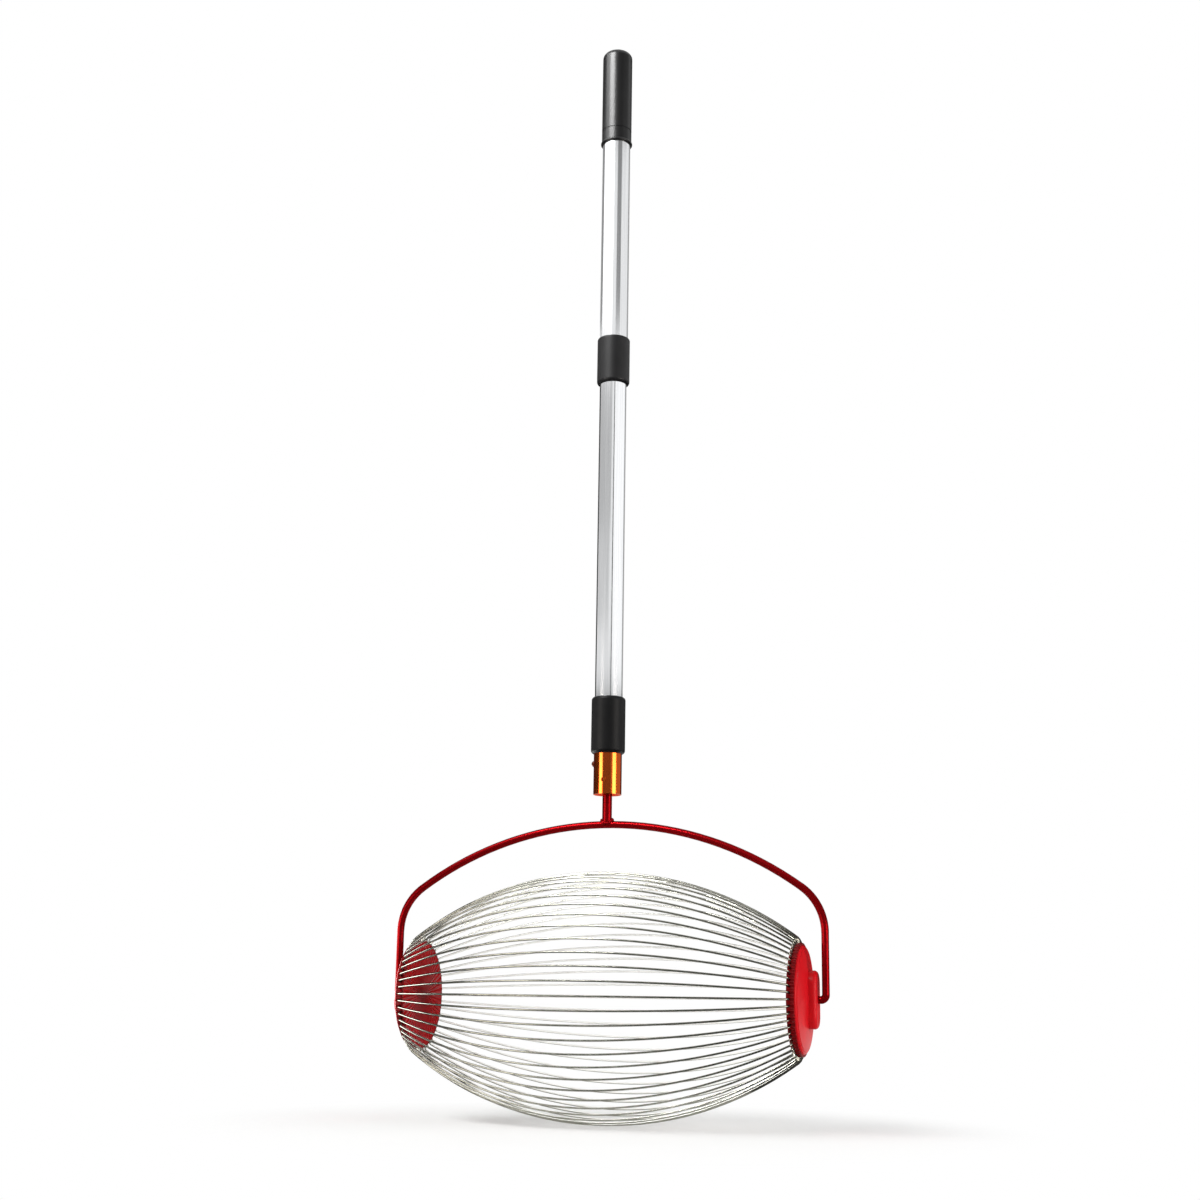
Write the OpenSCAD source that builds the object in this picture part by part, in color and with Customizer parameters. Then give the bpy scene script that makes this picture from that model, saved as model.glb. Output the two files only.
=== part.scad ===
// Rolling gatherer: a barrel cage of spring wires turns between two hubs, on a rod yoke
// below a telescopic pole of three tubes. The cage's lowest wire rests on z = 0, the cage
// turns about the X axis, and the pole rises along +Z.

/* [Cage] */
// Outside diameter of the wire cage at its middle
cage_d = 200; // [196:1:204]
// Radius of the barrel curve along each wire
barrel_r = 271.8; // [268:0.2:276]
// Thickness of a spring wire
wire_d = 1.6; // [1.2:0.1:1.8]
// Distance of the wires' bent ends from the middle of the cage
wire_end_x = 159.2; // [158.8:0.1:159.2]
// Bend radius at the wires' ends
wire_bend_r = 3; // [2.5:0.5:4]
// Sideways play taken up by the cage as it stands
cage_shift = -0.8; // [-1:0.1:0]

/* [Hubs] */
// Radius of the inner hub disc
disc_r = 43.7; // [43:0.1:44.5]
// Distance of the disc's inner face from the middle of the cage
disc_in_x = 157; // [156:0.1:157.2]
// Distance of the joint between disc and cover from the middle of the cage
split_x = 162.9; // [162:0.1:163]
// Radius of the outer hub cover
cover_r = 41.8; // [41:0.1:43]
// Thickness of the cover at its rim
cover_rim_t = 1.9; // [1.9:0.1:3]
// Height of the cover's dome over its rim
dome_rise = 4.4; // [4:0.1:5]
// Distance of the finger bar's flat top from the middle of the cage
bar_top_x = 174.9; // [174:0.1:175]
// Half the width of the finger bar
bar_half_w = 10.5; // [10:0.1:11]
// Half the length of the finger bar
bar_half_l = 22.5; // [21:0.1:23]
// Number of wire slots by which the left bar is turned from the right one
left_bar_slots = 9; // [0:1:14]

/* [Yoke] */
// Diameter of the bent yoke rod
rod_d = 6; // [5.6:0.1:6]
// Distance of each straight leg from the middle
leg_x = 180; // [179.8:0.1:181]
// Height of the bow's middle over the cage axis
bow_rise = 138.9; // [136:0.1:142]
// Radius of the bow over the cage
bow_r = 279.6; // [275:0.2:285]
// Bend radius at the bow's shoulders
shoulder_r = 44; // [40:1:50]
// Bend radius at the foot of each leg
foot_bend_r = 3.9; // [3.8:0.05:3.9]
// Distance of each rod end from the middle
rod_end_x = 160.4; // [160.4:0.1:160.8]
// Diameter of the stem
stem_d = 8; // [7.4:0.1:8]

/* [Coupler] */
// Height of the coupler's foot over the cage axis
coupler_z = 163.5; // [162:0.1:164]
// Length of the coupler tube
coupler_l = 39.5; // [39:0.1:40]
// Height of the snap button over the coupler's foot
button_up = 26; // [25:0.1:27]
// Diameter of the snap button
button_d = 5.5; // [5:0.1:6]
// How far the snap button stands out of the coupler
button_out = 2.25; // [2:0.05:2.6]

/* [Pole] */
// Outside diameter of the lower tube
lower_tube_d = 22; // [22]
// Step in diameter from one tube to the next
tube_step = 1.5; // [1.5]
// Wall thickness of each tube
tube_wall = 0.7; // [0.7]
// Length of the lower tube
lower_tube_l = 404; // [380:1:404]
// Length of the middle tube
middle_tube_l = 413; // [413:1:418]
// Length of the upper tube
upper_tube_l = 306; // [306:1:312]
// Height of the upper tube's foot over the cage axis, as the pole stands
upper_tube_z = 536; // [520:1:540]

/* [Collars and grip] */
// Outside diameter of both lock collars
collar_d = 28.5; // [28.5:0.1:30]
// Length of the lower lock collar
lower_collar_l = 48.2; // [48:0.1:50]
// Length of the upper lock collar
upper_collar_l = 43.1; // [42.5:0.1:44]
// Outside diameter of the hand grip
grip_d = 26.8; // [26.6:0.1:28]
// Length of the hand grip
grip_l = 92.8; // [85:0.1:100]

/* [Hidden] */
$fn = 64;

// How far a tight bend laps over the straight lengths beside it, and how much it swells
lap = 0.25;
swell = 1.02;

// Clearances: a running fit, and a plain gap between parts that move past each other
run_gap = 0.05;
free_gap = 0.3;

axis_z = cage_d / 2;
rod_r = rod_d / 2;
wire_r = wire_d / 2;

// Wires: one arc of the barrel, a short bend at each end, and a leg towards the axis
wires_per_group = 7;
wire_groups = 8;
wire_count = wires_per_group * wire_groups;
wire_pitch = 360 / wire_count;
barrel_top = cage_d / 2 - wire_r;
barrel_z = barrel_top - barrel_r;
wire_bend_x = wire_end_x - wire_bend_r;
wire_bend_z = barrel_z + sqrt(pow(barrel_r - wire_bend_r, 2) - pow(wire_bend_x, 2));
barrel_half_deg = asin(wire_bend_x / (barrel_r - wire_bend_r));
wire_leg_foot = 37;

// Hubs
slot_w = wire_d + 0.4;
slot_floor_x = wire_end_x - wire_r - run_gap;
slot_roof_x = wire_end_x + wire_r + run_gap;
cover_edge_r = 1.8;
dome_r = (pow(cover_r, 2) + pow(dome_rise, 2)) / (2 * dome_rise);
bar_edge_r = 3;
bar_pocket_in_x = 11.4;
bar_pocket_l = 7;
bar_pocket_w = 13;
bar_pocket_roof_x = 171.7;
bore_r = rod_r + run_gap;
pivot_pocket_r = 8.2;
pivot_pocket_floor_x = 165.6;
disc_pocket_floor_x = 159;
stud_r = 2.5;
stud_l = 1.8;
stud_pitch_r = 30;

// Rod end fittings
washer_t = 1.2;
washer_x = 163.2;
ring_t = 1;
ring_x = 161.8;
pivot_fitting_r = 7.5;

// Yoke
bow_z = bow_rise - bow_r;
shoulder_x = leg_x - shoulder_r;
shoulder_z = bow_z + sqrt(pow(bow_r - shoulder_r, 2) - pow(shoulder_x, 2));
bow_half_deg = asin(shoulder_x / (bow_r - shoulder_r));
stem_r = stem_d / 2;
stem_thread_r = 3;
stem_foot = bow_rise + 1.5;

// Tubes: outside and inside radii
lower_r = lower_tube_d / 2;
middle_r = lower_r + tube_step / 2;
upper_r = middle_r + tube_step / 2;
coupler_r = middle_r;
lower_in_r = lower_r - tube_wall;
middle_in_r = middle_r - tube_wall;
upper_in_r = upper_r - tube_wall;

// Coupler and what it holds
coupler_top = coupler_z + coupler_l;
plug_floor_t = 5;
plug_skirt_l = 14.5;
plug_skirt_in_r = 9.3;
nut_flats = 10;
nut_t = 5;
rivet_z = coupler_z + 11.5;
rivet_r = 1.2;
rivet_head_r = 2.1;
rivet_in_y = 8.6;
button_z = coupler_z + button_up;
button_r = button_d / 2;
button_tip_x = coupler_r + button_out;
button_flange_r = 3.8;
button_flange_t = 1;
button_flange_x = 8.3;
spring_t = 0.5;
spring_w = 7;
spring_pad_x = button_flange_x - 0.3;
spring_apex_z = button_z + 32.5;
spring_foot_z = button_z - 2;
spring_foot_x = 9.2;

// Heights along the pole, over the cage axis
lower_tube_z = coupler_z + 15.5;
lower_tube_top = lower_tube_z + lower_tube_l;
middle_tube_z = coupler_top + 9;
middle_tube_top = middle_tube_z + middle_tube_l;
upper_tube_top = upper_tube_z + upper_tube_l;
bush_l = 12;
lower_bush_flange_t = 3;
middle_bush_flange_t = 4;

// Lock collars and the collets inside them
collar_r = collar_d / 2;
collar_foot_edge_r = 3.2;
lower_collar_top_edge_r = 2.8;
upper_collar_top_edge_r = 2;
lip_t = 2;
lip_gap = 0.08;
lower_collar_z = coupler_top - 5.7;
lower_mouth_l = 7.2;
lower_cavity_r = 13;
lower_finger_l = 7;
upper_collar_z = upper_tube_z - 12.8;
upper_mouth_l = 3.3;
upper_cavity_r = 13.25;
upper_finger_l = 9;
mouth_r = middle_r + free_gap;
collet_slot_w = 1.6;
lower_sleeve_l = 26;
upper_sleeve_l = 24;

// Grip
grip_r = grip_d / 2;
grip_top_t = 4.2;
grip_top = upper_tube_top + grip_top_t;
grip_foot = grip_top - grip_l;
grip_dome_r = 6;
grip_lip_r = grip_r + 0.8;
grip_bead_r = 1.5;
grip_groove_z = grip_foot + 12.6;
grip_groove_w = 1.5;
grip_groove_depth = 0.4;

// ---- Frames that the parts are drawn in ----

// Children are drawn about the cage axis, at its height
module on_axis() {
    translate([0, 0, axis_z]) children();
}

// Children are drawn along +Z from the middle of the cage, and laid along +X or -X
module hub_frame(side) {
    translate([cage_shift, 0, axis_z])
        rotate([0, side * 90, 0])
            rotate([0, 0, side < 0 ? left_bar_slots * wire_pitch : 0])
                children();
}

// Children are drawn along +Z and laid along the rod end on each side
module rod_end_frame(side) {
    on_axis() rotate([0, side * 90, 0]) children();
}

// ---- Shapes that repeat ----

// A round bar bent in the X-Z plane, about a centre, from an angle over +X through a sweep
module bent_bar(centre_x, centre_z, r, from_deg, sweep_deg, bar_r) {
    translate([centre_x, 0, centre_z])
        rotate([90, 0, 0])
            rotate([0, 0, from_deg])
                rotate_extrude(angle = sweep_deg, $fn = 256)
                    translate([r, 0]) circle(r = bar_r, $fn = 48);
}

// A tight bend, which swells a little and laps over the lengths that it joins
module tight_bend(centre_x, centre_z, r, from_deg, sweep_deg, bar_r) {
    lap_deg = lap / r * 180 / PI;
    bent_bar(centre_x, centre_z, r, from_deg - lap_deg, sweep_deg + 2 * lap_deg, bar_r * swell);
}

// A tube along +Z
module tube(out_r, in_r, z, l) {
    translate([0, 0, axis_z + z])
        difference() {
            cylinder(r = out_r, h = l);
            translate([0, 0, -1]) cylinder(r = in_r, h = l + 2);
        }
}

// Half outline of a turned body with rounded ends, from the axis out
module rounded_half(r, l, foot_edge, top_edge) {
    translate([0, foot_edge]) square([r, l - foot_edge - top_edge]);
    square([r - foot_edge, l]);
    square([r - top_edge, l]);
    translate([r - foot_edge, foot_edge]) circle(r = foot_edge);
    translate([r - top_edge, l - top_edge]) circle(r = top_edge);
}

// ---- Cage ----

// One wire of the cage, in the plane above the axis
module spring_wire() {
    bent_bar(0, barrel_z, barrel_r, 90 - barrel_half_deg, 2 * barrel_half_deg, wire_r);
    for (side = [-1, 1]) mirror([side < 0 ? 1 : 0, 0, 0]) {
        tight_bend(wire_bend_x, wire_bend_z, wire_bend_r, 0, 90 - barrel_half_deg, wire_r);
        translate([wire_end_x, 0, wire_leg_foot])
            cylinder(r = wire_r, h = wire_bend_z - wire_leg_foot);
    }
}

// One of the groups of neighbouring wires
module spring_wires(group) {
    color([0.27, 0.27, 0.26])
        on_axis() translate([cage_shift, 0, 0])
            for (i = [0 : wires_per_group - 1])
                rotate([180 + (group * wires_per_group + i) * wire_pitch, 0, 0]) spring_wire();
}

// ---- Hubs ----

// Holes or studs that locate the cover on the disc
module at_studs() {
    for (turn = [45 : 90 : 315]) rotate([0, 0, turn]) translate([stud_pitch_r, 0, 0]) children();
}

module hub_disc(side) {
    color([0.55, 0.04, 0.07])
        hub_frame(side) difference() {
            translate([0, 0, disc_in_x]) cylinder(r = disc_r, h = split_x - disc_in_x);
            for (i = [0 : wire_count - 1])
                rotate([0, 0, i * wire_pitch])
                    translate([wire_leg_foot - wire_d, -slot_w / 2, slot_floor_x])
                        cube([disc_r, slot_w, slot_roof_x - slot_floor_x]);
            translate([0, 0, disc_pocket_floor_x]) cylinder(r = pivot_pocket_r, h = split_x);
            at_studs() translate([0, 0, split_x - stud_l - 0.2]) cylinder(r = stud_r, h = split_x);
        }
}

// Half outline of the cover: a rounded rim under a shallow dome
module cover_half() {
    intersection() {
        union() {
            square([cover_r, cover_rim_t - cover_edge_r]);
            square([cover_r - cover_edge_r, cover_rim_t + dome_rise]);
            translate([cover_r - cover_edge_r, cover_rim_t - cover_edge_r]) circle(r = cover_edge_r);
        }
        translate([0, cover_rim_t + dome_rise - dome_r]) circle(r = dome_r, $fn = 256);
        square([cover_r, cover_rim_t + dome_rise]);
    }
}

// Half outline across the finger bar, with a rounded upper edge
module bar_half(l) {
    square([bar_half_w, l - bar_edge_r]);
    square([bar_half_w - bar_edge_r, l]);
    translate([bar_half_w - bar_edge_r, l - bar_edge_r]) circle(r = bar_edge_r);
}

// The bar across the cover: two round ends and a straight length between them
module finger_bar(l) {
    straight = bar_half_l - bar_half_w;
    for (turn = [0, 180]) rotate([0, 0, turn])
        translate([straight, 0, 0]) rotate([0, 0, -90]) rotate_extrude(angle = 180) bar_half(l);
    translate([-straight, 0, 0]) rotate([90, 0, 90]) linear_extrude(2 * straight) {
        bar_half(l);
        mirror([1, 0]) bar_half(l);
    }
}

module hub_cover(side) {
    bar_l = bar_top_x - split_x - 2;
    color([0.82, 0.11, 0.13])
        hub_frame(side) {
            difference() {
                union() {
                    translate([0, 0, split_x]) rotate_extrude() cover_half();
                    translate([0, 0, bar_top_x - bar_l]) finger_bar(bar_l);
                }
                translate([0, 0, split_x - 1]) cylinder(r = bore_r, h = bar_top_x);
                translate([0, 0, split_x - 1])
                    cylinder(r = pivot_pocket_r, h = pivot_pocket_floor_x - split_x + 1);
                for (turn = [0, 180]) rotate([0, 0, turn])
                    translate([bar_pocket_in_x, -bar_pocket_w / 2, split_x - 1])
                        cube([bar_pocket_l, bar_pocket_w, bar_pocket_roof_x - split_x + 1]);
            }
            at_studs() translate([0, 0, split_x - stud_l]) cylinder(r = stud_r, h = stud_l + 1);
        }
}

module pivot_washers() {
    color([0.72, 0.73, 0.74])
        for (side = [-1, 1]) rod_end_frame(side) translate([0, 0, washer_x])
            difference() {
                cylinder(r = pivot_fitting_r, h = washer_t);
                translate([0, 0, -1]) cylinder(r = rod_r, h = washer_t + 2);
            }
}

module retaining_rings() {
    color([0.45, 0.46, 0.48])
        for (side = [-1, 1]) rod_end_frame(side) translate([0, 0, ring_x])
            difference() {
                cylinder(r = pivot_fitting_r, h = ring_t);
                translate([0, 0, -1]) cylinder(r = rod_r, h = ring_t + 2);
            }
}

// ---- Yoke ----

module bow_arc(bar_r) {
    bent_bar(0, bow_z, bow_r, 90 - bow_half_deg, 2 * bow_half_deg, bar_r);
}

module yoke_bow() {
    color([0.5, 0.02, 0.05])
        on_axis() {
            bow_arc(rod_r);
            for (side = [-1, 1]) mirror([side < 0 ? 1 : 0, 0, 0]) {
                tight_bend(shoulder_x, shoulder_z, shoulder_r, 0, 90 - bow_half_deg, rod_r);
                translate([leg_x, 0, foot_bend_r]) cylinder(r = rod_r, h = shoulder_z - foot_bend_r);
                tight_bend(leg_x - foot_bend_r, foot_bend_r, foot_bend_r, -90, 90, rod_r);
                translate([rod_end_x, 0, 0]) rotate([0, 90, 0])
                    cylinder(r = rod_r, h = leg_x - foot_bend_r - rod_end_x);
            }
        }
}

module yoke_stem() {
    color([0.5, 0.02, 0.05])
        on_axis() {
            difference() {
                translate([0, 0, stem_foot]) cylinder(r = stem_r, h = coupler_z - stem_foot);
                bow_arc(rod_r);
            }
            translate([0, 0, coupler_z - 1])
                cylinder(r = stem_thread_r, h = plug_floor_t + nut_t + 2.5);
        }
}

module stem_weld() {
    color([0.5, 0.02, 0.05])
        on_axis() difference() {
            translate([0, 0, bow_rise + 1]) cylinder(r1 = stem_r + 1.6, r2 = stem_r + 0.1, h = 4);
            bow_arc(rod_r);
            translate([0, 0, bow_rise]) cylinder(r = stem_r, h = 10);
        }
}

// ---- Coupler ----

// A round hole or pin across the coupler, towards -X
module button_hole() {
    translate([0, 0, button_z]) rotate([0, -90, 0]) cylinder(r = button_r + run_gap, h = 20);
}

// The rivet's way through the coupler and the plug, towards -Y
module rivet_hole() {
    translate([0, 0, rivet_z]) rotate([90, 0, 0]) cylinder(r = rivet_r, h = 20);
}

module coupler_tube() {
    color([0.93, 0.45, 0.08])
        difference() {
            tube(coupler_r, middle_in_r, coupler_z, coupler_l);
            on_axis() {
                button_hole();
                rivet_hole();
            }
        }
}

module coupler_plug() {
    color([0.93, 0.5, 0.16])
        on_axis() difference() {
            translate([0, 0, coupler_z]) cylinder(r = middle_in_r, h = plug_skirt_l);
            translate([0, 0, coupler_z + plug_floor_t]) cylinder(r = plug_skirt_in_r, h = plug_skirt_l);
            translate([0, 0, coupler_z - 1]) cylinder(r = stem_thread_r, h = plug_skirt_l);
            rivet_hole();
        }
}

module plug_rivet() {
    color([0.8, 0.5, 0.2])
        on_axis() {
            difference() {
                translate([0, 1 - coupler_r, rivet_z]) rotate([90, 0, 0])
                    cylinder(r = rivet_head_r, h = 1.6);
                translate([0, 0, coupler_z]) cylinder(r = coupler_r, h = coupler_l);
            }
            translate([0, -rivet_in_y, rivet_z]) rotate([90, 0, 0])
                cylinder(r = rivet_r, h = coupler_r + 0.3 - rivet_in_y);
        }
}

module stem_nut() {
    color([0.7, 0.71, 0.72])
        on_axis() translate([0, 0, coupler_z + plug_floor_t])
            difference() {
                cylinder(d = nut_flats / cos(30), h = nut_t, $fn = 6);
                translate([0, 0, -1]) cylinder(r = stem_thread_r, h = nut_t + 2);
            }
}

// One flat length of the leaf spring, edge on, between two points
module spring_leaf(from, to) {
    run = to - from;
    translate(from) rotate(atan2(run[1], run[0]))
        translate([0, -spring_t / 2]) square([norm(run), spring_t]);
}

module button_spring() {
    apex = [0, spring_apex_z];
    pad_foot = [-spring_pad_x, button_z - 5];
    pad_top = [-spring_pad_x, button_z + 5];
    color([0.75, 0.76, 0.77])
        on_axis() translate([0, spring_w / 2, 0]) rotate([90, 0, 0]) linear_extrude(spring_w) {
            spring_leaf(pad_foot, pad_top);
            spring_leaf(pad_top, apex);
            spring_leaf([spring_foot_x, spring_foot_z], apex);
            for (bend = [pad_top, apex]) translate(bend) circle(d = spring_t * 1.3);
        }
}

module snap_button() {
    shank_l = button_tip_x - button_flange_x;
    color([0.42, 0.25, 0.1])
        on_axis() translate([-button_flange_x, 0, button_z]) rotate([0, -90, 0])
            rotate_extrude() {
                square([button_flange_r, button_flange_t]);
                square([button_r, shank_l - button_r]);
                intersection() {
                    translate([0, shank_l - button_r]) circle(r = button_r);
                    square([button_r, shank_l]);
                }
            }
}

// ---- Pole ----

module lower_tube() {
    color([0.8, 0.81, 0.82])
        difference() {
            tube(lower_r, lower_in_r, lower_tube_z, lower_tube_l);
            on_axis() button_hole();
        }
}

// A guide bush: a hollow plug inside a tube's end, and a flange over the tube's end
module guide_bush(top_z, plug_r, flange_r, flange_t) {
    on_axis() translate([0, 0, top_z - bush_l]) rotate_extrude() {
        translate([plug_r - 2.5, 0]) square([2.5, bush_l + flange_t]);
        translate([0, bush_l - 1]) square([plug_r, 1 + flange_t]);
        translate([0, bush_l]) square([flange_r, flange_t]);
    }
}

module lower_tube_bush() {
    color([0.2, 0.2, 0.21])
        guide_bush(lower_tube_top, lower_in_r, middle_in_r - run_gap, lower_bush_flange_t);
}

module middle_tube() {
    color([0.84, 0.85, 0.86]) tube(middle_r, middle_in_r, middle_tube_z, middle_tube_l);
}

module middle_tube_bush() {
    color([0.2, 0.2, 0.21])
        guide_bush(middle_tube_top, middle_in_r, upper_in_r - run_gap, middle_bush_flange_t);
}

module upper_tube() {
    color([0.84, 0.85, 0.86]) tube(upper_r, upper_in_r, upper_tube_z, upper_tube_l);
}

// ---- Twist locks ----

// A collar: a rounded sleeve with a mouth at its foot, a cavity, and a lip at its top
module lock_collar(z, l, mouth_l, cavity_r, top_r, top_edge_r) {
    on_axis() translate([0, 0, z]) rotate_extrude() difference() {
        rounded_half(collar_r, l, collar_foot_edge_r, top_edge_r);
        translate([0, -1]) square([mouth_r, mouth_l + 1.5]);
        translate([0, mouth_l]) square([cavity_r, l - mouth_l - lip_t]);
        square([top_r, l + 1]);
    }
}

// A collet: a sleeve round the foot of a tube, and slotted fingers below that grip the next tube
module collet(tube_z, sleeve_in_r, sleeve_out_r, sleeve_l, finger_in_r, finger_out_r, finger_l) {
    on_axis() translate([0, 0, tube_z]) difference() {
        rotate_extrude() {
            translate([sleeve_in_r, 0]) square([sleeve_out_r - sleeve_in_r, sleeve_l]);
            translate([finger_in_r, -finger_l]) square([finger_out_r - finger_in_r, finger_l]);
        }
        for (turn = [0, 90])
            rotate([0, 0, turn])
                translate([-collar_r, -collet_slot_w / 2, -finger_l - 1])
                    cube([2 * collar_r, collet_slot_w, finger_l]);
    }
}

module lower_collar() {
    color([0.13, 0.13, 0.14])
        lock_collar(lower_collar_z, lower_collar_l, lower_mouth_l, lower_cavity_r,
            middle_r + lip_gap, lower_collar_top_edge_r);
}

module lower_collet() {
    color([0.86, 0.86, 0.84])
        collet(middle_tube_z, middle_r, lower_cavity_r - lip_gap, lower_sleeve_l,
            lower_r + run_gap, lower_cavity_r - 0.4, lower_finger_l);
}

module upper_collar() {
    color([0.17, 0.17, 0.18])
        lock_collar(upper_collar_z, upper_collar_l, upper_mouth_l, upper_cavity_r,
            upper_r + lip_gap, upper_collar_top_edge_r);
}

module upper_collet() {
    color([0.86, 0.86, 0.84])
        collet(upper_tube_z, upper_r, upper_cavity_r - lip_gap, upper_sleeve_l,
            middle_r + run_gap, upper_cavity_r - 0.35, upper_finger_l);
}

// ---- Grip ----

module hand_grip() {
    color([0.09, 0.09, 0.1])
        on_axis() translate([0, 0, grip_foot]) rotate_extrude() difference() {
            union() {
                square([grip_r, grip_l - grip_dome_r]);
                square([grip_r - grip_dome_r, grip_l]);
                intersection() {
                    translate([grip_r - grip_dome_r, grip_l - grip_dome_r]) circle(r = grip_dome_r);
                    square([grip_r, grip_l]);
                }
                square([grip_lip_r - grip_bead_r, 2 * grip_bead_r]);
                translate([grip_lip_r - grip_bead_r, grip_bead_r]) circle(r = grip_bead_r);
            }
            translate([0, -1]) square([upper_r, grip_l - grip_top_t + 1]);
            translate([grip_r - grip_groove_depth, grip_groove_z - grip_foot])
                square([grip_groove_depth + 1, grip_groove_w]);
        }
}

spring_wires(0);  // spring_wires_1
spring_wires(1);  // spring_wires_2
spring_wires(2);  // spring_wires_3
spring_wires(3);  // spring_wires_4
spring_wires(4);  // spring_wires_5
spring_wires(5);  // spring_wires_6
spring_wires(6);  // spring_wires_7
spring_wires(7);  // spring_wires_8
hub_disc(-1);  // hub_disc_left
hub_disc(1);  // hub_disc_right
hub_cover(-1);  // hub_cover_left
hub_cover(1);  // hub_cover_right
yoke_bow();
yoke_stem();
stem_weld();
pivot_washers();
retaining_rings();
coupler_tube();
coupler_plug();
plug_rivet();
stem_nut();
button_spring();
snap_button();
lower_tube();
lower_tube_bush();
middle_tube();
lower_collet();
middle_tube_bush();
lower_collar();
upper_tube();
upper_collet();
upper_collar();
hand_grip();
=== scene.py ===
import math

import bpy
from mathutils import Matrix, Vector


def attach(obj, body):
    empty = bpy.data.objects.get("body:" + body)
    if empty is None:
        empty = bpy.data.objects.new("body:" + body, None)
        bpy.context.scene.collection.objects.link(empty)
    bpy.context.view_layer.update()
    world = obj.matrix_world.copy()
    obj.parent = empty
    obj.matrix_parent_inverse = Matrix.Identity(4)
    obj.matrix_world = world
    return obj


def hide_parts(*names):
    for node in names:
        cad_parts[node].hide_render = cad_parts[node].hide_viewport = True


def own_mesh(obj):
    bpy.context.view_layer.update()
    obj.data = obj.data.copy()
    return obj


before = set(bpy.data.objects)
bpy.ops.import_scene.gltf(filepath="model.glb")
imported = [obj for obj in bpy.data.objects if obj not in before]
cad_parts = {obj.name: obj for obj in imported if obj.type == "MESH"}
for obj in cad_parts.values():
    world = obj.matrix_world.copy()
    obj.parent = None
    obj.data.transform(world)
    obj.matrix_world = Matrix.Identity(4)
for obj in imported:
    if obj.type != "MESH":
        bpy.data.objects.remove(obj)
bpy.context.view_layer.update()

scene = bpy.context.scene

# ---------------------------------------------------------------------------
# Camera. It stands low in front of the cage, a little to its right, and looks
# up along the pole.

cam_place = (0.3973, -1.3716, 0.0940)
cam_turn, cam_tilt, cam_roll = 16.5, 13.23, 0.9
cam_data = bpy.data.cameras.new("camera")
cam_data.lens = 51.6
cam_data.sensor_width = 36
cam_data.clip_end = 60
camera = bpy.data.objects.new("camera", cam_data)
scene.collection.objects.link(camera)
camera.matrix_world = (
    Matrix.Translation(cam_place)
    @ Matrix.Rotation(math.radians(cam_turn), 4, "Z")
    @ Matrix.Rotation(math.radians(90 + cam_tilt), 4, "X")
    @ Matrix.Rotation(math.radians(cam_roll), 4, "Z")
)
scene.camera = camera
scene.view_settings.view_transform = "Standard"

# ---------------------------------------------------------------------------
# Floor and studio. A white sheet of matt vinyl lies under the cage. Three
# softboxes light the object from both sides. The cards and dark sheets round it
# are only there for its reflections.


def hexed(text):
    """An sRGB hex colour as linear RGBA."""
    parts = [int(text[i:i + 2], 16) / 255 for i in (0, 2, 4)]
    linear = [p / 12.92 if p <= 0.04045 else ((p + 0.055) / 1.055) ** 2.4 for p in parts]
    return linear + [1.0]


def add(tree, kind, inputs=None, ramp=None, **settings):
    """A node with its settings. Each input is a value, or the output that feeds it."""
    node = tree.nodes.new(kind)
    for name, value in settings.items():
        setattr(node, name, value)
    for name, value in (inputs or {}).items():
        if isinstance(value, bpy.types.NodeSocket):
            tree.links.new(value, node.inputs[name])
        else:
            node.inputs[name].default_value = value
    if ramp:
        stops = node.color_ramp.elements
        while len(stops) < len(ramp):
            stops.new(1.0)
        for stop, (place, colour) in zip(stops, ramp):
            stop.position = place
            stop.color = colour
    return node


def material(name):
    """An empty node material, and its tree."""
    made = bpy.data.materials.new(name)
    made.use_nodes = True
    made.node_tree.nodes.clear()
    return made, made.node_tree


def mesh_object(name, verts, faces):
    """An object in the scene, made from points and faces."""
    mesh = bpy.data.meshes.new(name)
    mesh.from_pydata(verts, [], faces)
    mesh.validate()
    made = bpy.data.objects.new(name, mesh)
    scene.collection.objects.link(made)
    return made


def matt_vinyl():
    # Calendered white vinyl: a faint unevenness about 300 mm across, and no gloss. Round the cage
    # it shows the shadow, and further out the camera and gloss see it clean white.
    made, tree = material("matt_white_vinyl")
    coords = add(tree, "ShaderNodeTexCoord")
    uneven = add(tree, "ShaderNodeTexNoise", {"Vector": coords.outputs["Object"], "Scale": 3.0})
    tone = add(tree, "ShaderNodeValToRGB", {"Fac": uneven.outputs["Fac"]},
               ramp=[(0.3, hexed("f2f2f1")), (0.7, hexed("f5f5f4"))])
    cloth = add(tree, "ShaderNodeBsdfDiffuse", {"Color": tone.outputs["Color"]})
    white = add(tree, "ShaderNodeEmission", {"Color": hexed("ffffff"), "Strength": 1.0})
    reach = add(tree, "ShaderNodeVectorMath", {0: coords.outputs["Object"]}, operation="LENGTH")
    away = add(tree, "ShaderNodeMapRange", {
        "Value": reach.outputs["Value"], "From Min": 0.15, "From Max": 0.36,
        "To Min": 0.1, "To Max": 1.0}, interpolation_type="SMOOTHSTEP")
    both = add(tree, "ShaderNodeMixShader", {
        0: away.outputs["Result"], 1: cloth.outputs[0], 2: white.outputs[0]})
    path = add(tree, "ShaderNodeLightPath")
    seen = add(tree, "ShaderNodeMath", {
        0: path.outputs["Is Camera Ray"], 1: path.outputs["Is Glossy Ray"]}, operation="MAXIMUM")
    pick = add(tree, "ShaderNodeMixShader", {
        0: seen.outputs[0], 1: cloth.outputs[0], 2: both.outputs[0]})
    add(tree, "ShaderNodeOutputMaterial", {"Surface": pick.outputs[0]})
    return made


floor_half = 14
floor = mesh_object("floor", [
    (-floor_half, -floor_half, 0), (floor_half, -floor_half, 0),
    (floor_half, floor_half, 0), (-floor_half, floor_half, 0)], [(0, 1, 2, 3)])
floor.data.materials.append(matt_vinyl())


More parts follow.
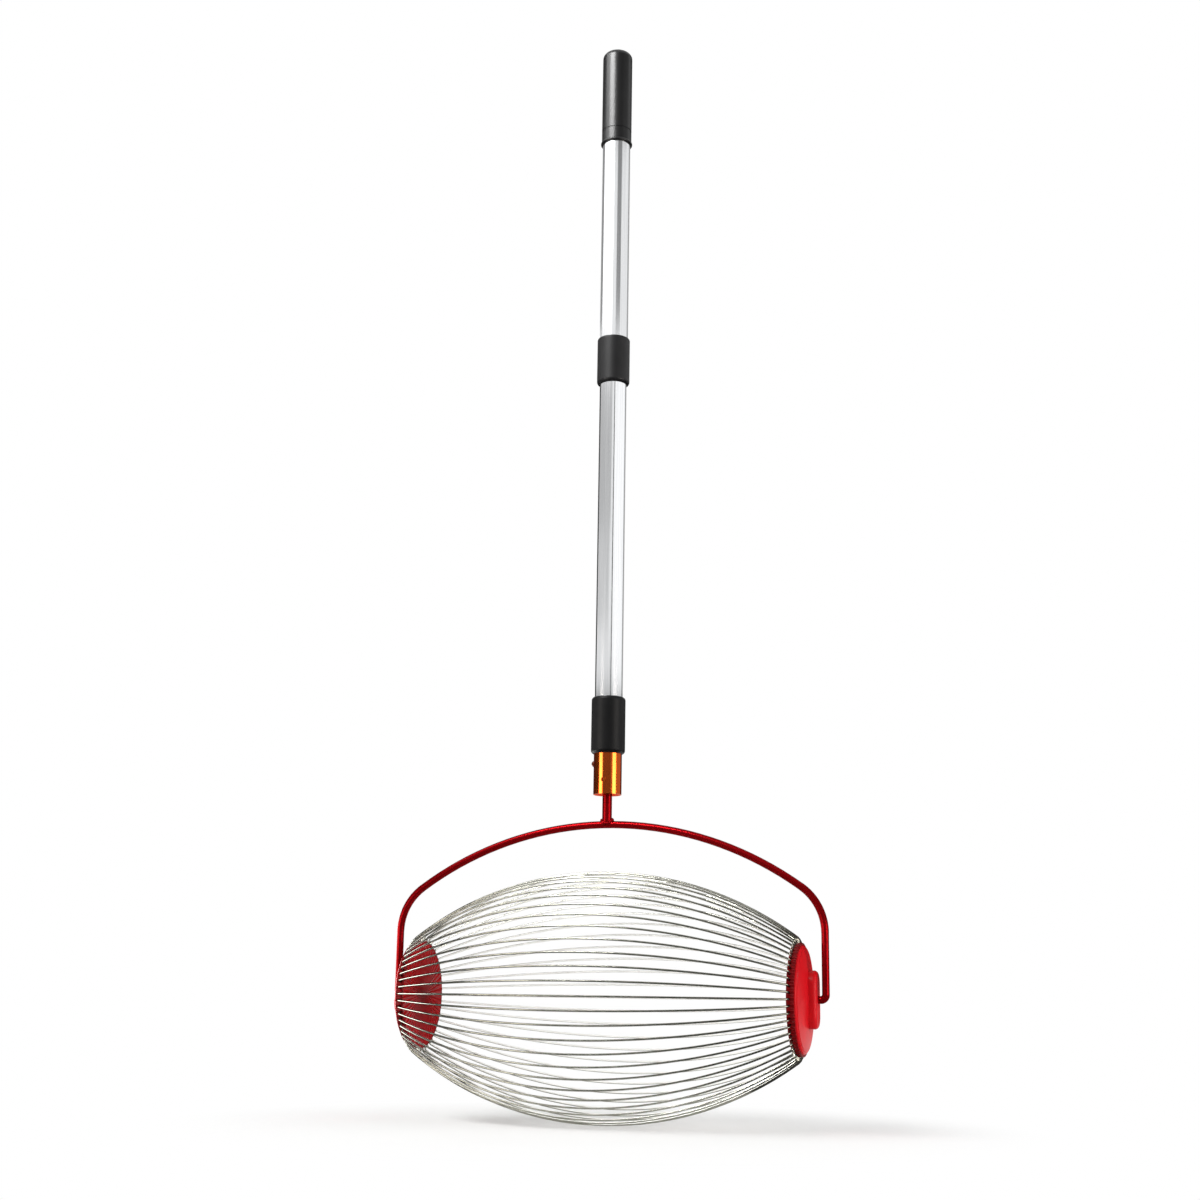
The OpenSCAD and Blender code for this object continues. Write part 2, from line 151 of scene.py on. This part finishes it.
def outward(azimuth):
    """The level direction from the pole at an azimuth. The camera is at 0, its right at 90."""
    turn = math.radians(cam_turn + azimuth)
    return Vector((math.sin(turn), -math.cos(turn), 0))


def panel(name, first, last, edges, tone, glow=1.0):
    """A card that only gloss sees, between two azimuths. Each edge is a radius and a height."""
    step_degrees = 4
    steps = max(2, round(abs(last - first) / step_degrees))
    verts = [outward(first + (last - first) * step / steps) * radius + Vector((0, 0, height))
             for step in range(steps + 1) for radius, height in edges]
    faces = [(2 * step, 2 * step + 2, 2 * step + 3, 2 * step + 1) for step in range(steps)]
    made = mesh_object(name, verts, faces)
    cloth, tree = material(name)
    shade = add(tree, "ShaderNodeEmission", {"Color": hexed(tone), "Strength": glow})
    add(tree, "ShaderNodeOutputMaterial", {"Surface": shade.outputs[0]})
    made.data.materials.append(cloth)
    made.visible_camera = made.visible_diffuse = False
    made.visible_shadow = made.visible_transmission = False


studio_r = 2.0
near = 0.97 * studio_r


def card(name, first, last, foot, top, tone, glow=1.0, radius=studio_r):
    """A curved upright card round the pole."""
    panel(name, first, last, ((radius, foot), (radius, top)), tone, glow)


# What the head, coupler and lower collar see
card("cloth_behind_camera", -33, 27, -0.1, 0.7, "767676")
card("low_wall_left", -78, -33, 0.3, 0.7, "8c8c8c")
card("flag_low_left", -130, -78, 0.3, 0.7, "404040")
card("low_wall_right", 27, 130, -0.1, 0.7, "b4b4b4")
card("flag_left", -170, -130, 0.3, 1.45, "484848")
card("flag_right", 130, 170, -0.1, 0.7, "404040")
card("reflector_left", -150, -90, 0.01, 0.24, "ffffff", 8.0, 0.6)
card("strip_low_left", -72, -46, -0.1, 0.6, "fff8f0", 8.0, near)
card("strip_low_right", 40, 70, -0.1, 0.6, "fff8f0", 8.0, near)
# What the middle tube sees
card("stand_behind_camera", 11, 18, 0.7, 1.38, "585858")
card("pale_card_left", -130, -14, 0.84, 1.05, "dcdcdc")
card("grey_card_left", -130, -6, 1.05, 1.38, "c6c6c6")
card("white_card_right", 19, 124, 0.72, 1.42, "ffffff", 1.25)
card("grey_card_right", 126, 170, 0.7, 1.95, "b0b0b0")
# What the upper tube sees
card("white_card_left", -112, -16, 1.49, 1.95, "ffffff", 1.7)
card("boom_behind_camera", 13, 48, 1.49, 1.95, "9c9c9c")
card("grey_card_far_left", -165, -114, 1.49, 1.95, "9c9c9c")
# What the grip sees
card("flag_high_left", -170, -76, 1.95, 2.7, "404040")
card("flag_high_right", -6, 100, 1.95, 2.7, "606060")
card("flag_high_far_right", 122, 170, 1.95, 2.7, "404040")
card("strip_high_left", -60, -22, 1.97, 2.7, "ffffff", 42.0, near)
card("strip_high_far_left", -96, -60, 1.97, 2.7, "ffffff", 8.0, near)

# What the wires see: a dark sheet that lies before the cage, and two that hang level round it
# below the coupler's foot
sheet_z, canopy_z = 0.001, 0.25
panel("dark_sheet", -105, 105, ((0.13, sheet_z), (1.9, sheet_z)), "585858")
panel("canopy_front", -90, 90, ((0.2, canopy_z), (0.6, canopy_z)), "505050")
panel("canopy_back", 90, 270, ((0.2, canopy_z), (1.9, canopy_z)), "181818")


def softbox(name, first, last, foot, top, radiance):
    """A flat softbox between two azimuths and heights, which gloss doesn't see."""
    lamp_r = 1.05 * studio_r
    watts_for_one = 4
    middle = outward((first + last) / 2) * lamp_r
    lamp = bpy.data.lights.new(name, "AREA")
    lamp.shape = "RECTANGLE"
    lamp.size = 2 * lamp_r * math.tan(math.radians(last - first) / 2)
    lamp.size_y = top - foot
    lamp.energy = radiance * watts_for_one * lamp.size * lamp.size_y
    made = bpy.data.objects.new(name, lamp)
    made.location = middle + Vector((0, 0, (foot + top) / 2))
    made.rotation_euler = (-middle).to_track_quat("-Z", "Y").to_euler()
    made.visible_camera = made.visible_glossy = False
    scene.collection.objects.link(made)


softbox("softbox_high_left", -100, -25, 1.5, 2.9, 6.0)
softbox("softbox_low_left", -85, -34, -0.05, 0.9, 1.0)
softbox("softbox_right", 35, 95, -0.05, 1.5, 2.6)

# The room is white to the camera, gloss and glass, and lights the object at a third of that
world = bpy.data.worlds.new("studio")
scene.world = world
world.use_nodes = True
sky = world.node_tree
sky.nodes.clear()
path = add(sky, "ShaderNodeLightPath")
seen = add(sky, "ShaderNodeMath", {
    0: path.outputs["Is Camera Ray"], 1: path.outputs["Is Glossy Ray"]}, operation="MAXIMUM")
seen = add(sky, "ShaderNodeMath", {
    0: seen.outputs[0], 1: path.outputs["Is Transmission Ray"]}, operation="MAXIMUM")
room = add(sky, "ShaderNodeMapRange", {"Value": seen.outputs[0], "To Min": 0.35, "To Max": 1.0})
backdrop = add(sky, "ShaderNodeBackground", {
    "Color": hexed("ffffff"), "Strength": room.outputs["Result"]})
add(sky, "ShaderNodeOutputWorld", {"Surface": backdrop.outputs[0]})

# ---------------------------------------------------------------------------
# Cage. Fifty-six hard-drawn spring wires, each bent to one arc with a short leg
# at both ends, and pushed into the slots of the hub discs.

mm = 0.001
axis_z = 100 * mm
cage_shift = -0.8 * mm  # the cage has slid to the left in its side play
wire_r = 0.8 * mm
barrel_r = 271.8 * mm
barrel_z = 99.2 * mm - barrel_r
bend_r = 3 * mm
wire_end_x = 159.2 * mm
wire_foot_z = 37 * mm
wires_per_group, wire_groups = 7, 8
wire_count = wires_per_group * wire_groups
wire_pitch = 2 * math.pi / wire_count


def drawn_spring_steel():
    # Hard-drawn carbon steel: a dull grey skin with lines along the wire from the die, drawn about
    # 1 mm apart and so coarser than real ones. The side that rolls on the ground is polished. The
    # inner side, towards the cage's axis, is painted near white and matt: painted light, so the
    # far wires fade against the white.
    made, tree = material("drawn_spring_steel")
    coords = add(tree, "ShaderNodeTexCoord")
    spread = add(tree, "ShaderNodeMapping", {
        "Vector": coords.outputs["Object"], "Scale": (40, 900, 900)})
    die = add(tree, "ShaderNodeTexNoise", {
        "Vector": spread.outputs[0], "Scale": 1.0, "Detail": 3.0})
    steel = add(tree, "ShaderNodeValToRGB", {"Fac": die.outputs["Fac"]},
                ramp=[(0.3, hexed("98988e")), (0.7, hexed("acaca2"))])
    from_axis = add(tree, "ShaderNodeVectorMath", {
        0: coords.outputs["Object"], 1: (0, 1, 1), 2: (0, 0, -axis_z)}, operation="MULTIPLY_ADD")
    away = add(tree, "ShaderNodeVectorMath", {0: from_axis.outputs[0]}, operation="NORMALIZE")
    facing = add(tree, "ShaderNodeVectorMath", {
        0: away.outputs[0], 1: coords.outputs["Normal"]}, operation="DOT_PRODUCT")
    inner = add(tree, "ShaderNodeMapRange", {
        "Value": facing.outputs["Value"], "From Min": -0.2, "From Max": -0.6})
    # Painted light: the inner side is mixed to near white.
    tone = add(tree, "ShaderNodeMix", {
        0: inner.outputs["Result"], 6: steel.outputs["Color"], 7: hexed("fafaf6")},
        data_type="RGBA")
    bare = add(tree, "ShaderNodeMapRange", {
        "Value": inner.outputs["Result"], "To Min": 1.0, "To Max": 0.0})
    drawn = add(tree, "ShaderNodeMapRange", {
        "Value": die.outputs["Fac"], "To Min": 0.15, "To Max": 0.22})
    rough = add(tree, "ShaderNodeMath", {
        0: inner.outputs["Result"], 1: 0.4, 2: drawn.outputs["Result"]}, operation="MULTIPLY_ADD")
    skin = add(tree, "ShaderNodeBsdfPrincipled", {
        "Base Color": tone.outputs[2], "Metallic": bare.outputs["Result"],
        "Roughness": rough.outputs[0], "Specular Tint": hexed("303028")})
    add(tree, "ShaderNodeOutputMaterial", {"Surface": skin.outputs[0]})
    return made


def wire_line():
    """Points and outward turns along one wire, from its left foot to its right, in x and z."""
    arc_steps, bend_steps, leg_steps = 28, 7, 4
    bend_x = wire_end_x - bend_r
    bend_z = barrel_z + math.sqrt((barrel_r - bend_r) ** 2 - bend_x ** 2)
    reach = math.asin(bend_x / (barrel_r - bend_r))
    half = []
    for step in range(arc_steps):
        turn = reach * step / arc_steps
        half.append((barrel_r * math.sin(turn), barrel_z + barrel_r * math.cos(turn), turn))
    for step in range(bend_steps + 1):
        turn = reach + (math.pi / 2 - reach) * step / bend_steps
        half.append((bend_x + bend_r * math.sin(turn), bend_z + bend_r * math.cos(turn), turn))
    for step in range(1, leg_steps + 1):
        down = bend_z + (wire_foot_z - bend_z) * step / leg_steps
        half.append((wire_end_x, down, math.pi / 2))
    return [(-x, z, -turn) for x, z, turn in reversed(half[1:])] + half


def wire_bundle(group):
    """Seven neighbouring wires. Each bows and drifts a little its own way, as sprung wire does."""
    sides = 10
    most_bow, bow_turn = 0.12 * mm, 2.399
    most_drift, drift_turn = 0.15 * mm, 1.731
    line = wire_line()
    verts, faces = [], []
    for wire in range(wires_per_group):
        index = group * wires_per_group + wire
        round_axis = Matrix.Rotation(math.pi + index * wire_pitch, 3, "X")
        bow = most_bow * math.sin(index * bow_turn)
        drift = most_drift * math.sin(index * drift_turn + 1)
        first = len(verts)
        for x, z, turn in line:
            free = max(0.0, 1 - (x / wire_end_x) ** 2)
            out = Vector((math.sin(turn), 0, math.cos(turn)))
            middle = Vector((x, drift * free, z + bow * free))
            for side in range(sides):
                around = 2 * math.pi * side / sides
                rim = math.cos(around) * out + math.sin(around) * Vector((0, 1, 0))
                point = middle + wire_r * rim
                verts.append(round_axis @ point + Vector((cage_shift, 0, axis_z)))
        rings = len(line)
        for ring in range(rings - 1):
            for side in range(sides):
                beside = (side + 1) % sides
                low, high = first + ring * sides, first + (ring + 1) * sides
                faces.append((low + side, high + side, high + beside, low + beside))
        faces.append(tuple(first + side for side in range(sides)))
        faces.append(tuple(first + (rings - 1) * sides + side for side in reversed(range(sides))))
    made = mesh_object(f"wire_bundle_{group + 1}", verts, faces)
    made.data.polygons.foreach_set("use_smooth", [len(face) == 4 for face in faces])
    made.data.materials.append(wire_finish)
    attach(made, "cage")
    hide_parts(f"spring_wires_{group + 1}")


wire_finish = drawn_spring_steel()
for group in range(wire_groups):
    wire_bundle(group)

# ---------------------------------------------------------------------------
# Hub discs and covers. Injection-moulded ABS, the inner disc in a dark red and
# the cover in a brighter one. Studs fix the cover on the disc, and each pair turns
# on an end of the yoke's rod.


def finish_node(name, finish):
    """Gives a CAD node its material."""
    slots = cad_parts[name].data.materials
    slots.clear()
    slots.append(finish)


def moulded_red(name, dark, light, rough_low, rough_high, shine, flutes=0):
    # Moulded ABS: a soft gloss, with the fine grain of a spark-eroded mould (about 0.4 mm). Flutes
    # run out from the cage's axis, one for each wire, and catch the light in turn.
    made, tree = material(name)
    coords = add(tree, "ShaderNodeTexCoord")
    grain = add(tree, "ShaderNodeTexNoise", {
        "Vector": coords.outputs["Object"], "Scale": 2600.0, "Detail": 2.0})
    flow = add(tree, "ShaderNodeTexNoise", {
        "Vector": coords.outputs["Object"], "Scale": 40.0, "Detail": 3.0})
    tone = add(tree, "ShaderNodeValToRGB", {"Fac": flow.outputs["Fac"]},
               ramp=[(0.3, hexed(dark)), (0.7, hexed(light))])
    colour = tone.outputs["Color"]
    rough = add(tree, "ShaderNodeMapRange", {
        "Value": flow.outputs["Fac"], "To Min": rough_low, "To Max": rough_high})
    bump = add(tree, "ShaderNodeBump", {
        "Height": grain.outputs["Fac"], "Strength": 0.08, "Distance": 0.1 * mm})
    if flutes:
        place = add(tree, "ShaderNodeSeparateXYZ", {"Vector": coords.outputs["Object"]})
        height = add(tree, "ShaderNodeMath", {
            0: place.outputs["Z"], 1: axis_z}, operation="SUBTRACT")
        angle = add(tree, "ShaderNodeMath", {
            0: place.outputs["Y"], 1: height.outputs[0]}, operation="ARCTAN2")
        turns = add(tree, "ShaderNodeMath", {
            0: angle.outputs[0], 1: float(flutes)}, operation="MULTIPLY")
        wave = add(tree, "ShaderNodeMath", {0: turns.outputs[0]}, operation="SINE")
        bump = add(tree, "ShaderNodeBump", {
            "Height": wave.outputs[0], "Strength": 1.0, "Distance": 1 * mm,
            "Normal": bump.outputs["Normal"]})
        # Painted shade: the rim, where the wires' slots are, is mixed to a deeper red for the
        # slots' shade.
        rim_shade_from, rim_shade_to = 41.5 * mm, 42.8 * mm
        across = add(tree, "ShaderNodeVectorMath", {
            0: coords.outputs["Object"], 1: (0, 1, 1), 2: (0, 0, -axis_z)},
            operation="MULTIPLY_ADD")
        reach = add(tree, "ShaderNodeVectorMath", {0: across.outputs[0]}, operation="LENGTH")
        rim = add(tree, "ShaderNodeMapRange", {
            "Value": reach.outputs["Value"], "From Min": rim_shade_from, "From Max": rim_shade_to})
        painted_rim_shade = add(tree, "ShaderNodeMix", {
            0: rim.outputs["Result"], 6: colour, 7: hexed("74060b")}, data_type="RGBA")
        colour = painted_rim_shade.outputs[2]
    skin = add(tree, "ShaderNodeBsdfPrincipled", {
        "Base Color": colour, "Roughness": rough.outputs["Result"],
        "Specular IOR Level": shine, "Normal": bump.outputs["Normal"]})
    add(tree, "ShaderNodeOutputMaterial", {"Surface": skin.outputs[0]})
    return made


disc_finish = moulded_red(
    "moulded_abs_dark_red", "9a070d", "a80a11", 0.35, 0.45, 0.06, flutes=wire_count)
cover_finish = moulded_red("moulded_abs_red", "bc0c16", "c8121a", 0.3, 0.4, 0.1)
for side in ("left", "right"):
    finish_node(f"hub_disc_{side}", disc_finish)
    finish_node(f"hub_cover_{side}", cover_finish)

# ---------------------------------------------------------------------------
# Pivot fittings and stem nut. Flat washers and push-on rings of stamped steel
# keep the hubs on the rod's ends, and a steel nut holds the stem in the coupler's
# plug. All are zinc plated, and hidden inside.


def zinc_plate(name, dark, light):
    # Bright zinc plate: silvery, with a faint bluish bloom about 3 mm across.
    made, tree = material(name)
    coords = add(tree, "ShaderNodeTexCoord")
    bloom = add(tree, "ShaderNodeTexNoise", {
        "Vector": coords.outputs["Object"], "Scale": 300.0, "Detail": 3.0})
    tone = add(tree, "ShaderNodeValToRGB", {"Fac": bloom.outputs["Fac"]},
               ramp=[(0.3, hexed(dark)), (0.7, hexed(light))])
    skin = add(tree, "ShaderNodeBsdfPrincipled", {
        "Base Color": tone.outputs["Color"], "Metallic": 1.0, "Roughness": 0.3})
    add(tree, "ShaderNodeOutputMaterial", {"Surface": skin.outputs[0]})
    return made


zinc_finish = zinc_plate("bright_zinc_plate", "b4b8bc", "c8ccd0")
for name in ("pivot_washers", "retaining_rings", "stem_nut"):
    finish_node(name, zinc_finish)

# ---------------------------------------------------------------------------
# Yoke. A round steel rod bent to a bow with two legs, a stem welded on its top,
# and a dark red powder coat over both and the weld.


def powder_coat():
    # Metallic red powder coat: flakes under clear red resin, with the orange peel of the cured
    # powder (about 1 mm). Its edges stay dark red, and its highlights are a clear red.
    made, tree = material("red_powder_coat")
    coords = add(tree, "ShaderNodeTexCoord")
    peel = add(tree, "ShaderNodeTexNoise", {
        "Vector": coords.outputs["Object"], "Scale": 900.0, "Detail": 1.0})
    flow = add(tree, "ShaderNodeTexNoise", {"Vector": coords.outputs["Object"], "Scale": 25.0})
    tone = add(tree, "ShaderNodeValToRGB", {"Fac": flow.outputs["Fac"]},
               ramp=[(0.3, hexed("72060a")), (0.7, hexed("7e080d"))])
    bump = add(tree, "ShaderNodeBump", {
        "Height": peel.outputs["Fac"], "Strength": 0.12, "Distance": 0.2 * mm})
    skin = add(tree, "ShaderNodeBsdfPrincipled", {
        "Base Color": tone.outputs["Color"], "Metallic": 0.45, "Roughness": 0.2,
        "Specular IOR Level": 0.07, "Specular Tint": hexed("8a2028"),
        "Normal": bump.outputs["Normal"]})
    add(tree, "ShaderNodeOutputMaterial", {"Surface": skin.outputs[0]})
    return made


yoke_finish = powder_coat()
for name in ("yoke_bow", "yoke_stem"):
    finish_node(name, yoke_finish)


def weld_bead():
    """The fillet weld round the stem's foot. It rides over the rod and down both its sides."""
    rod_r, rod_z, path_r = 3 * mm, axis_z + 138.9 * mm, 4.2 * mm
    seat_r, least_ride = rod_r + 0.5 * mm, 0.9 * mm
    rings, sides, ripples = 144, 12, 19
    verts = []
    for ring in range(rings):
        turn = 2 * math.pi * ring / rings
        x, y = path_r * math.cos(turn), path_r * math.sin(turn)
        ride = math.sqrt(max(seat_r ** 2 - y * y, least_ride ** 2))
        lump = (0.25 * math.sin(2 * turn + 0.7) + 0.2 * math.sin(3 * turn + 2)
                + 0.12 * math.sin(5 * turn))
        ripple = 0.09 * math.sin(ripples * turn) ** 2
        thick = (1.25 + lump + ripple) * mm
        middle = Vector((x, y, rod_z + ride + 0.35 * lump * mm))
        out = Vector((math.cos(turn), math.sin(turn), 0))
        for side in range(sides):
            around = 2 * math.pi * side / sides
            rim = math.cos(around) * out + math.sin(around) * Vector((0, 0, 1.15))
            verts.append(middle + thick * rim)
    faces = []
    for ring in range(rings):
        low, high = ring * sides, (ring + 1) % rings * sides
        for side in range(sides):
            beside = (side + 1) % sides
            faces.append((low + side, high + side, high + beside, low + beside))
    made = mesh_object("weld_bead", verts, faces)
    made.data.polygons.foreach_set("use_smooth", [True] * len(faces))
    made.data.materials.append(yoke_finish)
    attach(made, "yoke")
    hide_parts("stem_weld")


weld_bead()

# ---------------------------------------------------------------------------
# Coupler. A short length of aluminium tube, dyed orange in the anodising bath, on
# a turned plug that is held by one rivet and by the nut on the stem.


def drawn_anodised(name, dark, light, edge, roughness, coat=0.0):
    # Anodised aluminium: lines along the tube from drawing, under a satin oxide skin. They are
    # drawn about 0.7 mm apart and so coarser than real ones.
    made, tree = material(name)
    coords = add(tree, "ShaderNodeTexCoord")
    spread = add(tree, "ShaderNodeMapping", {
        "Vector": coords.outputs["Object"], "Scale": (1500, 1500, 12)})
    drawn = add(tree, "ShaderNodeTexNoise", {
        "Vector": spread.outputs[0], "Scale": 1.0, "Detail": 4.0})
    tone = add(tree, "ShaderNodeValToRGB", {"Fac": drawn.outputs["Fac"]},
               ramp=[(0.3, hexed(dark)), (0.7, hexed(light))])
    rough = add(tree, "ShaderNodeMapRange", {
        "Value": drawn.outputs["Fac"], "To Min": roughness * 0.8, "To Max": roughness * 1.2})
    bump = add(tree, "ShaderNodeBump", {
        "Height": drawn.outputs["Fac"], "Strength": 0.05, "Distance": 0.05 * mm})
    skin = add(tree, "ShaderNodeBsdfPrincipled", {
        "Base Color": tone.outputs["Color"], "Metallic": 1.0, "Roughness": rough.outputs["Result"],
        "Specular Tint": hexed(edge), "Coat Weight": coat, "Coat Roughness": 0.12,
        "Normal": bump.outputs["Normal"]})
    add(tree, "ShaderNodeOutputMaterial", {"Surface": skin.outputs[0]})
    return made


orange_finish = drawn_anodised(
    "orange_anodised_aluminium", "ee620e", "fa6e12", "e88c30", 0.14, coat=0.5)
plug_finish = drawn_anodised("orange_anodised_plug", "e8842c", "f49038", "d8600c", 0.25)
for name, finish in (("coupler_tube", orange_finish), ("coupler_plug", plug_finish),
                     ("plug_rivet", orange_finish)):
    finish_node(name, finish)

# ---------------------------------------------------------------------------
# Snap button and its leaf spring. A pressed steel button on a V of spring strip,
# which lies loose in the coupler. The strip closes as the button goes in; here it is drawn open.

# The button takes a dark red-brown tone in place of the plate's silver.
finish_node("snap_button", zinc_plate("dull_button_steel", "4c2418", "5c2c1c"))


def leaf_spring():
    """A strip bent to a V. One leg has a pad behind the button, the other bears on the wall."""
    thick, wide = 0.5 * mm, 7 * mm
    bend, bend_steps = 1.6 * mm, 6
    button_z, wall_x = axis_z + 189.5 * mm, 9.5 * mm
    corners = [Vector((x * mm, z * mm)) for x, z in ((-8, -5), (-8, 5), (0, 32.5), (9.2, -2))]
    line = [corners[0]]
    for before, here, after in zip(corners, corners[1:], corners[2:]):
        start = here + (before - here).normalized() * bend
        end = here + (after - here).normalized() * bend
        for step in range(bend_steps + 1):
            part = step / bend_steps
            line.append(start * (1 - part) ** 2 + here * 2 * part * (1 - part) + end * part ** 2)
    line.append(corners[-1])
    verts = []
    for index, point in enumerate(line):
        run = (line[min(index + 1, len(line) - 1)] - line[max(index - 1, 0)]).normalized()
        for along, across in ((-1, -1), (1, -1), (1, 1), (-1, 1)):
            verts.append((point.x - run.y * along * thick / 2, across * wide / 2,
                          button_z + point.y + run.x * along * thick / 2))
    faces = [(0, 1, 2, 3), tuple(len(verts) - 1 - corner for corner in range(4))]
    for low in range(0, len(verts) - 4, 4):
        for side in range(4):
            beside = (side + 1) % 4
            faces.append((low + side, low + 4 + side, low + 4 + beside, low + beside))
    made = mesh_object("leaf_spring", verts, faces)
    made.data.materials.append(zinc_plate("spring_strip", "b0b2b4", "c0c2c4"))
    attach(made, "yoke")
    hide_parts("button_spring")
    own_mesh(made)


leaf_spring()

# ---------------------------------------------------------------------------
# Pole. Three drawn aluminium tubes with a natural anodised skin. Each slides over
# the one below it, and the lowest stands in the coupler.

tube_finish = drawn_anodised("natural_anodised_aluminium", "dcdddf", "eaebec", "ffffff", 0.12)
for name in ("lower_tube", "middle_tube", "upper_tube"):
    finish_node(name, tube_finish)

# ---------------------------------------------------------------------------
# Bushes, collets, lock collars and grip. Acetal bushes guide the tubes inside, and
# nylon collars close on slotted acetal collets to lock them. The grip is soft
# vinyl, moulded and pushed over the top of the upper tube.


def moulded_black(name, dark, light, roughness, grain_scale, depth, shine=0.5):
    # Moulded polymer: a fine spark-eroded grain of about 0.5 mm, which spreads the light.
    made, tree = material(name)
    coords = add(tree, "ShaderNodeTexCoord")
    grain = add(tree, "ShaderNodeTexNoise", {
        "Vector": coords.outputs["Object"], "Scale": grain_scale, "Detail": 2.0})
    flow = add(tree, "ShaderNodeTexNoise", {
        "Vector": coords.outputs["Object"], "Scale": 60.0, "Detail": 3.0})
    tone = add(tree, "ShaderNodeValToRGB", {"Fac": flow.outputs["Fac"]},
               ramp=[(0.3, hexed(dark)), (0.7, hexed(light))])
    bump = add(tree, "ShaderNodeBump", {
        "Height": grain.outputs["Fac"], "Strength": depth, "Distance": 0.1 * mm})
    skin = add(tree, "ShaderNodeBsdfPrincipled", {
        "Base Color": tone.outputs["Color"], "Roughness": roughness, "Specular IOR Level": shine,
        "Normal": bump.outputs["Normal"]})
    add(tree, "ShaderNodeOutputMaterial", {"Surface": skin.outputs[0]})
    return made


bush_finish = moulded_black("acetal_black", "1c1c1d", "222223", 0.4, 2500, 0.1)
collet_finish = moulded_black("acetal_natural", "dcdcd6", "e4e4de", 0.4, 2500, 0.1)
collar_finish = moulded_black("nylon_black", "0a0a0b", "101011", 0.4, 2200, 0.2, 0.13)
# Painted light: the upper collar takes a lighter, glossier copy of the same black nylon, for the
# brighter light it shows.
lit_copy_collar_finish = moulded_black("nylon_black_lighter_copy", "0e0e0f", "141415", 0.42, 2200, 0.2, 0.23)
grip_finish = moulded_black("soft_vinyl_black", "060607", "0a0a0b", 0.32, 1800, 0.08, 0.4)
for name, finish in (("lower_tube_bush", bush_finish), ("middle_tube_bush", bush_finish),
                     ("lower_collet", collet_finish), ("upper_collet", collet_finish),
                     ("lower_collar", collar_finish), ("upper_collar", lit_copy_collar_finish),
                     ("hand_grip", grip_finish)):
    finish_node(name, finish)
